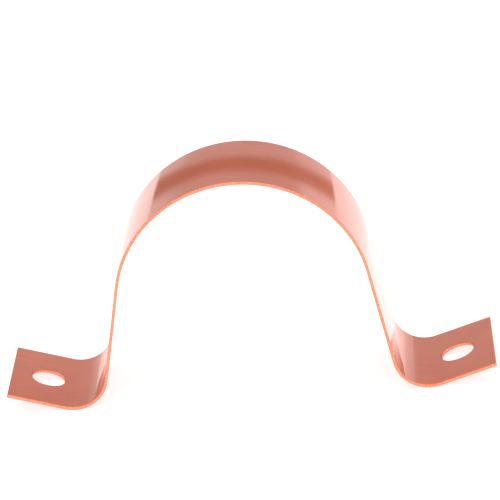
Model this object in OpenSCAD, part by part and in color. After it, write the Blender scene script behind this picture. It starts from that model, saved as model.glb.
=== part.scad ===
// Two-hole pipe strap: one strip of sheet copper, rolled over the pipe and
// folded out at both ends into feet, each with a punched screw hole.
// Lengths are in millimetres and angles in degrees. The pipe lies along Y.
// The strap is drawn unloaded, as it springs open: its legs lean outward, its
// feet rise towards their ends, and it stands on the rounds of its two bends.

/* [Pipe] */
// Outside diameter of the pipe that the strap holds
pipe_d = 41.3; // [30:0.1:60]

/* [Strip] */
// Width of the strip, along the pipe
strip_w = 19; // [12:0.5:30]
// Thickness of the sheet
strip_t = 0.5; // [0.4:0.1:1.2]

/* [Legs] */
// Angle at which each leg leans outward
leg_splay = 11; // [0:1:20]
// Length of the flat part of each leg
leg_len = 16.6; // [10:0.1:24]
// Inside radius of the bend between a leg and its foot
bend_r = 5.4; // [1:0.1:7]

/* [Feet] */
// Angle at which each foot rises towards its end
foot_rise = 17; // [0:1:25]
// Diameter of the screw hole in each foot
hole_d = 5.6; // [4:0.1:7]
// Flat sheet between the bend and the edge of the screw hole
hole_inset = 0.7; // [0.5:0.1:4]
// Flat sheet between the edge of the screw hole and the end of the foot
end_margin = 3.4; // [2:0.1:8]

/* [Hidden] */
$fn = 96;

pipe_r = pipe_d / 2;
foot_len = hole_inset + hole_d + end_margin;
// Half the angle that the sheet turns through from the leg to the foot
half_turn = (90 - leg_splay + foot_rise) / 2;
bend_outer_r = bend_r + strip_t;

// Height of the pipe's axis above the surface that the bends stand on
seat_height = leg_len * cos(leg_splay) - pipe_r * sin(leg_splay)
    + bend_outer_r * (1 - sin(leg_splay));

// Edge of a square that covers the whole profile
cover = 4 * (pipe_r + leg_len + bend_outer_r + foot_len);
// Length of the punch that cuts a screw hole
punch_len = 4 * strip_t;

// The shape and its mirror image on the other side of the pipe
module on_both_sides() {
    children();
    mirror([1, 0, 0]) children();
}

// Everything below the line along X
module below() {
    translate([-cover / 2, -cover]) square([cover, cover]);
}

// Everything above the line along X
module above() {
    mirror([0, 1]) below();
}

// A side view of the sheet as it runs once around the origin
module rolled_strip(inner_r) {
    difference() {
        circle(r = inner_r + strip_t);
        circle(r = inner_r);
    }
}

// A side view of the sheet as it runs straight down from the origin
module flat_strip(length) {
    translate([0, -length]) square([strip_t, length]);
}

// Places a child at the centre of the right bend, turned to the bend's middle,
// so that the leg and the foot are a half turn away on either side
module at_bend() {
    rotate(leg_splay) translate([pipe_r + bend_outer_r, -leg_len])
        rotate(half_turn) children();
}

// Turns a child at the bend so that its Y axis runs along the leg
module leg_side() {
    rotate(-half_turn) children();
}

// Turns a child at the bend so that its Y axis runs along the foot
module foot_side() {
    rotate(half_turn) children();
}

// Goes from the bend to the pipe's axis, on the leg side
module at_pipe() {
    translate([-pipe_r - bend_outer_r, leg_len]) children();
}

// Places a child where the bend ends and the flat of the foot starts,
// on the foot side
module at_foot() {
    translate([-bend_outer_r, 0]) children();
}

// The round sheet over the pipe, above the line where the leg starts
module crown_profile() {
    difference() {
        rolled_strip(pipe_r);
        below();
    }
}

// The crown, the leg and the bend that follows, drawn along the leg
module upper_profile() {
    at_pipe() crown_profile();
    at_pipe() translate([pipe_r, 0]) flat_strip(leg_len);
    difference() {
        rolled_strip(bend_r);
        above();
    }
}

// The bend and the foot that it runs into, drawn along the foot
module lower_profile() {
    difference() {
        rolled_strip(bend_r);
        below();
    }
    at_foot() flat_strip(foot_len);
}

// The right half of the strap. The drawings for the leg and for the foot are
// each cut at the middle of the bend, and the crown is cut at its top.
module half_profile() {
    difference() {
        at_bend() {
            difference() {
                leg_side() upper_profile();
                below();
            }
            difference() {
                foot_side() lower_profile();
                above();
            }
        }
        rotate(-90) below();
    }
}

// A punch through the middle of the foot, square to its sheet
module screw_hole() {
    at_bend() foot_side() at_foot()
        translate([strip_t / 2, -(hole_inset + hole_d / 2), 0])
            rotate([0, 90, 0]) cylinder(h = punch_len, d = hole_d, center = true);
}

module strap() {
    color("#cd8570")
    translate([0, 0, seat_height]) rotate([90, 0, 0]) difference() {
        linear_extrude(strip_w, center = true) on_both_sides() half_profile();
        on_both_sides() screw_hole();
    }
}

strap();
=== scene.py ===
"""Looks of a two-hole pipe strap: one strip of rolled sheet copper in soft studio light."""

import math

import bpy
from mathutils import Matrix, Vector


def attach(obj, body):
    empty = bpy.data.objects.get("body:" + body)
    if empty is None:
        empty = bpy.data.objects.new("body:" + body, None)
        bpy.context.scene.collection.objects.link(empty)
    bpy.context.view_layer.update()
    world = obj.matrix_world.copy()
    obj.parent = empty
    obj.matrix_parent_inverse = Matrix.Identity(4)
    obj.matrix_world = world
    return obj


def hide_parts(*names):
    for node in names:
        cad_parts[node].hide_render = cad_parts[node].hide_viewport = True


MM = 0.001

# Sizes of the strap, as in the part's source.
PIPE_R = 20.65 * MM
STRIP_W = 19 * MM
STRIP_T = 0.5 * MM
LEG_SPLAY = math.radians(11)
LEG_LEN = 16.6 * MM
BEND_R = 5.4 * MM
FOOT_RISE = math.radians(17)
HOLE_R = 2.8 * MM
HOLE_INSET = 0.7 * MM
END_MARGIN = 3.4 * MM

BEND_OUTER_R = BEND_R + STRIP_T
BEND_TURN = math.pi / 2 - LEG_SPLAY + FOOT_RISE
PIPE_Z = (
    LEG_LEN * math.cos(LEG_SPLAY)
    - PIPE_R * math.sin(LEG_SPLAY)
    + BEND_OUTER_R * (1 - math.sin(LEG_SPLAY))
)

# Lengths along the middle of the sheet, from the top of the crown.
LEG_START = (PIPE_R + STRIP_T / 2) * (math.pi / 2 - LEG_SPLAY)
BEND_START = LEG_START + LEG_LEN
FOOT_START = BEND_START + (BEND_R + STRIP_T / 2) * BEND_TURN
HOLE_AT = FOOT_START + HOLE_INSET + HOLE_R
TIP = HOLE_AT + HOLE_R + END_MARGIN

# The cut edge from the outer face to the inner one: (distance inside the nominal edge, height in the sheet).
# The shear rolls the outer arris over, and leaves the inner one nearly sharp.
EDGE_PROFILE = [
    (0.110 * MM, STRIP_T),
    (0.070 * MM, STRIP_T - 0.006 * MM),
    (0.035 * MM, STRIP_T - 0.024 * MM),
    (0.010 * MM, STRIP_T - 0.058 * MM),
    (0.0, STRIP_T - 0.105 * MM),
    (0.0, 0.045 * MM),
    (0.012 * MM, 0.013 * MM),
    (0.040 * MM, 0.0),
]

# The sheet is very slightly crowned across its width: the edges dip on the crown, the middle rises on the feet.
CROWN_BOW = 0.12 * MM
FOOT_BOW = 0.04 * MM


# ---------------------------------------------------------------- shape

def section_at(s):
    """Point of the inner face and outward normal at a length s from the crown's top."""
    side = -1 if s < 0 else 1
    a = abs(s)
    splay_normal = math.pi / 2 - LEG_SPLAY
    if a <= LEG_START:
        turn = a / (PIPE_R + STRIP_T / 2)
        normal = Vector((math.sin(turn), 0, math.cos(turn)))
        point = normal * PIPE_R
    elif a <= BEND_START:
        normal = Vector((math.sin(splay_normal), 0, math.cos(splay_normal)))
        along = Vector((normal.z, 0, -normal.x))
        point = normal * PIPE_R + along * (a - LEG_START)
    else:
        leg_normal = Vector((math.sin(splay_normal), 0, math.cos(splay_normal)))
        leg_along = Vector((leg_normal.z, 0, -leg_normal.x))
        centre = leg_normal * (PIPE_R + BEND_OUTER_R) + leg_along * LEG_LEN
        turned = min((a - BEND_START) / (BEND_R + STRIP_T / 2), BEND_TURN)
        turn = splay_normal - turned
        normal = Vector((math.sin(turn), 0, math.cos(turn)))
        along = Vector((normal.z, 0, -normal.x))
        point = centre - normal * BEND_OUTER_R + along * max(a - FOOT_START, 0)
    point = point + Vector((0, 0, PIPE_Z))
    return (
        Vector((point.x * side, 0, point.z)),
        Vector((normal.x * side, 0, normal.z)),
    )


def smooth_step(x):
    x = min(max(x, 0), 1)
    return x * x * (3 - 2 * x)


def bow(s, y):
    """How far the crowned sheet stands off the flat one at a point."""
    foot = smooth_step((abs(s) - LEG_START) / (FOOT_START - LEG_START))
    across = (y / (STRIP_W / 2)) ** 2
    return foot * FOOT_BOW * (1 - across) - (1 - foot) * CROWN_BOW * across


def place(s, y, height):
    point, normal = section_at(s)
    low = point + normal * (height + bow(s, y))
    return Vector((low.x, y, low.z))


def face_normal(s, y, up):
    """Normal of the outer face (up = 1) or the inner face (up = -1), with the crowning's slope."""
    outward = section_at(s)[1]
    step = 0.05 * MM
    slope = (bow(s, y + step) - bow(s, y - step)) / (2 * step)
    return (outward - Vector((0, slope, 0))).normalized() * up


def spaced(start, end, count):
    return [start + (end - start) * i / count for i in range(count)]


RING_SIDE = 20
RING_LOOPS = 6
PATCH = HOLE_R + HOLE_INSET
MARGIN_ROWS = 18


def half_lengths():
    """Lengths of the rows from the crown's top to one tip."""
    lengths = spaced(0, LEG_START, 90)
    lengths += spaced(LEG_START, BEND_START, 24)
    lengths += spaced(BEND_START, FOOT_START, 44)
    lengths += spaced(FOOT_START, FOOT_START + 2 * PATCH, RING_SIDE)
    lengths += spaced(FOOT_START + 2 * PATCH, TIP, 8)
    return lengths + [TIP]


class Sheet:
    """The flat blank: points (s, y), faces, and the loops of its cut edges."""

    def __init__(self):
        self.points = []
        self.inward = {}
        self.faces = []
        self.loops = []
        half = half_lengths()
        self.rows = [-s for s in reversed(half[1:])] + half
        edge = STRIP_W / 2
        self.cols = spaced(-edge, -PATCH, MARGIN_ROWS)
        self.cols += spaced(-PATCH, PATCH, RING_SIDE)
        self.cols += spaced(PATCH, edge, MARGIN_ROWS) + [edge]
        self.build_grid()
        for side in (-1, 1):
            self.build_hole(side)
        self.build_outline()

    def in_patch(self, s, y, slack):
        return abs(abs(s) - HOLE_AT) < PATCH + slack and abs(y) < PATCH + slack

    def build_grid(self):
        self.index = {}
        tiny = 1e-9
        for i, s in enumerate(self.rows):
            for j, y in enumerate(self.cols):
                if not self.in_patch(s, y, -tiny):
                    self.index[i, j] = self.add(s, y)
        for i in range(len(self.rows) - 1):
            for j in range(len(self.cols) - 1):
                s = (self.rows[i] + self.rows[i + 1]) / 2
                y = (self.cols[j] + self.cols[j + 1]) / 2
                if not self.in_patch(s, y, 0):
                    corners = ((i, j), (i + 1, j), (i + 1, j + 1), (i, j + 1))
                    self.faces.append([self.index[c] for c in corners])

    def add(self, s, y):
        self.points.append((s, y))
        return len(self.points) - 1

    def build_hole(self, side):
        """Rings of faces from the square patch round a hole down to the hole's edge."""
        centre = side * HOLE_AT
        first = min(range(len(self.rows)), key=lambda i: abs(self.rows[i] - centre + PATCH))
        low = MARGIN_ROWS
        n = RING_SIDE
        square = [(first + k, low) for k in range(n)]
        square += [(first + n, low + k) for k in range(n)]
        square += [(first + n - k, low + n) for k in range(n)]
        square += [(first, low + n - k) for k in range(n)]
        ring = [self.index[c] for c in square]
        outer = [self.points[i] for i in ring]
        angles = [math.atan2(y, s - centre) for s, y in outer]
        for loop in range(1, RING_LOOPS + 1):
            share = 1 - (1 - loop / RING_LOOPS) ** 1.5
            new = []
            for (s, y), angle in zip(outer, angles):
                hs = centre + HOLE_R * math.cos(angle)
                hy = HOLE_R * math.sin(angle)
                new.append(self.add(s + (hs - s) * share, y + (hy - y) * share))
            count = len(ring)
            for k in range(count):
                m = (k + 1) % count
                self.faces.append([ring[k], ring[m], new[m], new[k]])
            ring = new
        for i, angle in zip(ring, angles):
            self.inward[i] = (math.cos(angle), math.sin(angle))
        corners = []
        count = len(ring)
        for k in range(count):
            m = (k + 1) % count
            corners.append((ring[m], ring[k], self.inward[ring[m]], self.inward[ring[k]]))
        self.loops.append(corners)

    def build_outline(self):
        """The four straight edges, in turn. Each corner point belongs to two of them."""
        last_i = len(self.rows) - 1
        last_j = len(self.cols) - 1
        sides = [
            ([(i, 0) for i in range(last_i + 1)], (0, 1)),
            ([(last_i, j) for j in range(last_j + 1)], (-1, 0)),
            ([(i, last_j) for i in range(last_i, -1, -1)], (0, -1)),
            ([(0, j) for j in range(last_j, -1, -1)], (1, 0)),
        ]
        corners = []
        for cells, inward in sides:
            line = [self.index[c] for c in cells]
            for i in line:
                before = self.inward.get(i, (0, 0))
                self.inward[i] = (before[0] + inward[0], before[1] + inward[1])
            corners += [(a, b, inward, inward) for a, b in zip(line, line[1:])]
        self.loops.append(corners)


def profile_slopes():
    """Direction of the cut edge's surface at each step of its profile: (outward share, upward share)."""
    slopes = []
    last = len(EDGE_PROFILE) - 1
    for k in range(last + 1):
        (e0, h0) = EDGE_PROFILE[max(k - 1, 0)]
        (e1, h1) = EDGE_PROFILE[min(k + 1, last)]
        out, up = h0 - h1, e0 - e1
        size = math.hypot(out, up)
        slopes.append((out / size, up / size))
    slopes[0] = (0, 1)
    slopes[last] = (0, -1)
    return slopes


def build_strap():
    """The bent strip as one closed mesh: outer face, inner face and rounded cut edges."""
    sheet = Sheet()
    verts = []
    faces = []
    normals = []
    maps = []
    slots = []

    def moved(i, inset):
        s, y = sheet.points[i]
        ds, dy = sheet.inward.get(i, (0, 0))
        return s + ds * inset, y + dy * inset

    steps = len(EDGE_PROFILE)
    count = len(sheet.points)
    for inset, height in (EDGE_PROFILE[0], EDGE_PROFILE[-1]):
        for i in range(count):
            s, y = moved(i, inset)
            verts.append(place(s, y, height))
    rim = {}
    for i in sheet.inward:
        rim[i, 0] = i
        rim[i, steps - 1] = count + i
        for k in range(1, steps - 1):
            inset, height = EDGE_PROFILE[k]
            s, y = moved(i, inset)
            rim[i, k] = len(verts)
            verts.append(place(s, y, height))

    for up, first in ((1, 0), (-1, count)):
        inset = EDGE_PROFILE[0 if up > 0 else -1][0]
        tops = [face_normal(*moved(i, inset), up) for i in range(count)]
        for face in sheet.faces:
            order = face if up > 0 else face[::-1]
            faces.append([first + i for i in order])
            normals += [tops[i] for i in order]
            maps += [moved(i, inset) for i in order]
            slots.append(0)

    slopes = profile_slopes()

    def rim_normal(i, inward, k):
        s, y = sheet.points[i]
        normal = section_at(s)[1]
        along = Vector((normal.z, 0, -normal.x))
        out = -(along * inward[0] + Vector((0, 1, 0)) * inward[1])
        return (out * slopes[k][0] + normal * slopes[k][1]).normalized()

    for loop in sheet.loops:
        travelled = 0
        for a, b, in_a, in_b in loop:
            sa, ya = sheet.points[a]
            sb, yb = sheet.points[b]
            length = math.hypot(sb - sa, yb - ya)
            for k in range(steps - 1):
                quad = [(b, k, in_b), (a, k, in_a), (a, k + 1, in_a), (b, k + 1, in_b)]
                faces.append([rim[i, step] for i, step, _ in quad])
                normals += [rim_normal(i, inward, step) for i, step, inward in quad]
                for i, step, _ in quad:
                    far = travelled + (length if i == b else 0)
                    maps.append((far, EDGE_PROFILE[step][1]))
                slots.append(1)
            travelled += length

    mesh = bpy.data.meshes.new("strap_sheet")
    mesh.from_pydata(verts, [], faces)
    layer = mesh.uv_layers.new(name="strip")
    layer.uv.foreach_set("vector", [c for point in maps for c in point])
    mesh.polygons.foreach_set("use_smooth", [True] * len(faces))
    mesh.polygons.foreach_set("material_index", slots)
    mesh.normals_split_custom_set(normals)
    mesh.update()
    piece = bpy.data.objects.new("strap_sheet", mesh)
    bpy.context.scene.collection.objects.link(piece)
    return piece


# ---------------------------------------------------------------- material helpers

class Nodes:
    """Short ways to add and join shader nodes."""

    def __init__(self, tree):
        self.tree = tree
        tree.nodes.clear()

    def add(self, kind, **settings):
        node = self.tree.nodes.new(kind)
        for name, value in settings.items():
            setattr(node, name, value)
        return node

    def join(self, source, target):
        self.tree.links.new(source, target)

    def feed(self, socket, value):
        if isinstance(value, bpy.types.NodeSocket):
            self.join(value, socket)
        else:
            socket.default_value = value

    def math(self, operation, a, b=0.0, c=0.0, clamp=False):
        node = self.add("ShaderNodeMath", operation=operation, use_clamp=clamp)
        for socket, value in zip(node.inputs, (a, b, c)):
            self.feed(socket, value)
        return node.outputs[0]

    def spread(self, value, low, high, to_low=0.0, to_high=1.0, smooth=False):
        kind = "SMOOTHSTEP" if smooth else "LINEAR"
        node = self.add("ShaderNodeMapRange", interpolation_type=kind)
        self.feed(node.inputs["Value"], value)
        for name, number in zip(
            ("From Min", "From Max", "To Min", "To Max"), (low, high, to_low, to_high)
        ):
            self.feed(node.inputs[name], number)
        return node.outputs["Result"]

    def mix(self, share, a, b):
        node = self.add("ShaderNodeMix", data_type="RGBA")
        self.feed(node.inputs["Factor"], share)
        self.feed(node.inputs[6], a)
        self.feed(node.inputs[7], b)
        return node.outputs[2]

    def noise(self, vector, scale, detail=3.0, rough=0.55, stretch=(1, 1, 1), shift=(0, 0, 0)):
        place_node = self.add("ShaderNodeMapping")
        self.feed(place_node.inputs["Vector"], vector)
        place_node.inputs["Scale"].default_value = stretch
        place_node.inputs["Location"].default_value = shift
        node = self.add("ShaderNodeTexNoise", noise_dimensions="2D")
        self.join(place_node.outputs[0], node.inputs["Vector"])
        node.inputs["Scale"].default_value = scale
        node.inputs["Detail"].default_value = detail
        node.inputs["Roughness"].default_value = rough
        return node.outputs["Fac"]


def shader(name, coat, anisotropic):
    material = bpy.data.materials.new(name)
    material.use_nodes = True
    nodes = Nodes(material.node_tree)
    surface = nodes.add("ShaderNodeBsdfPrincipled")
    surface.inputs["Metallic"].default_value = 1.0
    surface.inputs["Specular Tint"].default_value = EDGE_TINT
    surface.inputs["Coat Weight"].default_value = coat
    surface.inputs["Coat Roughness"].default_value = COAT_ROUGHNESS
    surface.inputs["Coat IOR"].default_value = COAT_IOR
    surface.inputs["Anisotropic"].default_value = anisotropic
    out = nodes.add("ShaderNodeOutputMaterial")
    nodes.join(surface.outputs[0], out.inputs["Surface"])
    return material, nodes, surface


COPPER = (0.86, 0.21, 0.105, 1)
COPPER_PALE = (0.90, 0.25, 0.14, 1)
EDGE_TINT = (1.0, 0.75, 0.65, 1)
COAT_ROUGHNESS = 0.07
COAT_IOR = 1.7
BASE_ROUGHNESS = 0.45


def copper_sheet():
    """Rolled copper: grain along the strip and soft blotches."""
    material, nodes, surface = shader("rolled_copper", 1.0, 0.35)
    strip = nodes.add("ShaderNodeUVMap", uv_map="strip").outputs[0]
    grain = nodes.noise(strip, 1.0, 4, 0.6, (90, 5200, 1))
    lines = nodes.noise(strip, 1.0, 2, 0.5, (35, 1500, 1), (3, 7, 0))
    blotch = nodes.noise(strip, 1.0, 3, 0.55, (140, 240, 1), (11, 2, 0))
    tone = nodes.math("ADD", nodes.math("MULTIPLY", grain, 0.35), nodes.math("MULTIPLY", lines, 0.35))
    tone = nodes.math("ADD", tone, nodes.math("MULTIPLY", blotch, 0.3))
    tone = nodes.spread(tone, 0.35, 0.65)
    colour = nodes.mix(tone, COPPER, COPPER_PALE)
    nodes.join(colour, surface.inputs["Base Color"])
    rough = nodes.spread(nodes.math("ADD", blotch, grain), 0.7, 1.3, BASE_ROUGHNESS - 0.04, BASE_ROUGHNESS + 0.05)
    nodes.join(rough, surface.inputs["Roughness"])
    bump = nodes.add("ShaderNodeBump")
    bump.inputs["Strength"].default_value = 1.0
    bump.inputs["Distance"].default_value = 0.0006 * MM
    nodes.join(grain, bump.inputs["Height"])
    nodes.join(bump.outputs[0], surface.inputs["Normal"])
    tangent = nodes.add("ShaderNodeTangent", direction_type="UV_MAP", uv_map="strip")
    nodes.join(tangent.outputs[0], surface.inputs["Tangent"])
    return material


def cut_copper():
    """The sheared edge: brighter metal with fine marks across the sheet's thickness."""
    material, nodes, surface = shader("cut_copper", 0.0, 0.0)
    strip = nodes.add("ShaderNodeUVMap", uv_map="strip").outputs[0]
    marks = nodes.noise(strip, 1.0, 3, 0.6, (6000, 700, 1))
    colour = nodes.mix(nodes.spread(marks, 0.3, 0.7), COPPER, (0.93, 0.40, 0.27, 1))
    nodes.join(colour, surface.inputs["Base Color"])
    nodes.join(nodes.spread(marks, 0.3, 0.7, 0.3, 0.42), surface.inputs["Roughness"])
    bump = nodes.add("ShaderNodeBump")
    bump.inputs["Distance"].default_value = 0.001 * MM
    nodes.join(marks, bump.inputs["Height"])
    nodes.join(bump.outputs[0], surface.inputs["Normal"])
    return material


# ---------------------------------------------------------------- camera, light, floor

CAMERA_TARGET = Vector((1.2147, 0, 5.3101 + 17.129032)) * MM
CAMERA_DISTANCE = 490.769 * MM
CAMERA_AZIMUTH = -0.05336270403188516
CAMERA_ELEVATION = 0.39048816745516046
CAMERA_ROLL = -0.08641384544718796
FOCAL_PIXELS = 2993.788
PICTURE_PIXELS = 500
SENSOR = 36.0


def make_camera():
    """The camera that the photograph's outline was fitted with."""
    az, el = CAMERA_AZIMUTH, CAMERA_ELEVATION
    forward = Vector((math.sin(az) * math.cos(el), math.cos(az) * math.cos(el), -math.sin(el)))
    right = Vector((math.cos(az), -math.sin(az), 0))
    up = right.cross(forward)
    c, s = math.cos(CAMERA_ROLL), math.sin(CAMERA_ROLL)
    x_axis = right * c + up * s
    y_axis = up * c - right * s
    data = bpy.data.cameras.new("photo_camera")
    data.sensor_width = SENSOR
    data.lens = FOCAL_PIXELS / PICTURE_PIXELS * SENSOR
    data.clip_start = 0.01
    data.clip_end = 20
    camera = bpy.data.objects.new("photo_camera", data)
    turn = Matrix((x_axis, y_axis, -forward)).transposed().to_4x4()
    camera.matrix_world = Matrix.Translation(CAMERA_TARGET - forward * CAMERA_DISTANCE) @ turn
    bpy.context.scene.collection.objects.link(camera)
    bpy.context.scene.camera = camera


# Light levels round the strap. Angles are in degrees from straight behind it, and round that axis from the top.
BACKDROP_LEVELS = (0.62, 0.80, 0.78)
BACKDROP_EDGE = (19.9, 20.7)
SOFTBOX_LEVELS = (0.60, 1.05, 0.80)
SOFTBOX_EDGE = (21.9, 23.0)
SOFTBOX_FALL = (24.0, 30.0, 1.0, 0.5)
RIGHT_START = (46, 58)
LEFT_START = (-50, -75)
ROOM_EDGE = (34, 60)
ROOM_LEVEL = 0.5
TOP_LEVEL = 0.9
GAP_LEVEL = 0.04
FLOOR_GLOW = 0.72
FLOOR_RADIUS = 2.0


def make_floor():
    """A wide pale table top, lit from below as well, as a light table is."""
    steps = 96
    ring = [
        (FLOOR_RADIUS * math.cos(2 * math.pi * k / steps), FLOOR_RADIUS * math.sin(2 * math.pi * k / steps), 0)
        for k in range(steps)
    ]
    mesh = bpy.data.meshes.new("table_top")
    mesh.from_pydata(ring, [], [list(range(steps))])
    floor = bpy.data.objects.new("table_top", mesh)
    floor.location.z = -0.02 * MM
    bpy.context.scene.collection.objects.link(floor)
    material = bpy.data.materials.new("table_white")
    material.use_nodes = True
    nodes = Nodes(material.node_tree)
    surface = nodes.add("ShaderNodeBsdfPrincipled")
    surface.inputs["Base Color"].default_value = (0.5, 0.5, 0.5, 1)
    surface.inputs["Roughness"].default_value = 0.9
    surface.inputs["Specular IOR Level"].default_value = 0.0
    surface.inputs["Emission Color"].default_value = (1, 1, 1, 1)
    surface.inputs["Emission Strength"].default_value = FLOOR_GLOW
    out = nodes.add("ShaderNodeOutputMaterial")
    nodes.join(surface.outputs[0], out.inputs["Surface"])
    mesh.materials.append(material)


def make_world():
    """Soft studio light: a pale round backdrop behind the strap, a dark gap round it, and softboxes beyond."""
    world = bpy.data.worlds.new("studio")
    world.use_nodes = True
    nodes = Nodes(world.node_tree)
    way = nodes.add("ShaderNodeTexCoord").outputs["Generated"]
    parts = nodes.add("ShaderNodeSeparateXYZ")
    nodes.join(way, parts.inputs[0])
    x, y, z = parts.outputs
    off_axis = nodes.math("DEGREES", nodes.math("ARCCOSINE", y))
    round_axis = nodes.math("DEGREES", nodes.math("ARCTAN2", x, z))
    right = nodes.spread(round_axis, *RIGHT_START, smooth=True)
    left = nodes.spread(round_axis, *LEFT_START, smooth=True)

    def zone(top, right_level, left_level):
        level = nodes.math("ADD", top, nodes.math("MULTIPLY", right, right_level - top))
        return nodes.math("ADD", level, nodes.math("MULTIPLY", left, left_level - top))

    inside = zone(*BACKDROP_LEVELS)
    outside = zone(*SOFTBOX_LEVELS)
    fall = nodes.spread(off_axis, *SOFTBOX_FALL, smooth=True)
    outside = nodes.math("MULTIPLY", outside, fall)
    dark = nodes.spread(off_axis, *BACKDROP_EDGE, 0.0, 1.0, True)
    lit = nodes.spread(off_axis, *SOFTBOX_EDGE, 0.0, 1.0, True)
    level = nodes.math("ADD", nodes.math("MULTIPLY", inside, nodes.math("SUBTRACT", 1.0, dark)),
                       nodes.math("MULTIPLY", outside, lit))
    room = nodes.spread(off_axis, *ROOM_EDGE, 0.0, ROOM_LEVEL, True)
    level = nodes.math("ADD", level, room)
    top = nodes.spread(z, 0.55, 0.95, 0.0, TOP_LEVEL, True)
    level = nodes.math("ADD", nodes.math("ADD", level, top), GAP_LEVEL)
    glow = nodes.add("ShaderNodeBackground")
    glow.inputs["Color"].default_value = (1, 1, 1, 1)
    nodes.join(level, glow.inputs["Strength"])
    out = nodes.add("ShaderNodeOutputWorld")
    nodes.join(glow.outputs[0], out.inputs["Surface"])
    bpy.context.scene.world = world


# ---------------------------------------------------------------- the scene

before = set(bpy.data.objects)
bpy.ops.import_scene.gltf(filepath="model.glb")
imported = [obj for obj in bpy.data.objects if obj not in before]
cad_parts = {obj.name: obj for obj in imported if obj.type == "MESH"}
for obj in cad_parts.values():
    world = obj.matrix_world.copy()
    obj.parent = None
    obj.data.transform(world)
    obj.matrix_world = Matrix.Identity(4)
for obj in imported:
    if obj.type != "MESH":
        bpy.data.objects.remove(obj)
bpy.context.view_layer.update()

make_camera()
make_world()
make_floor()
bpy.context.scene.view_settings.view_transform = "Standard"

strap = build_strap()
strap.data.materials.append(copper_sheet())
strap.data.materials.append(cut_copper())
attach(strap, "root")
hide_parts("strap")
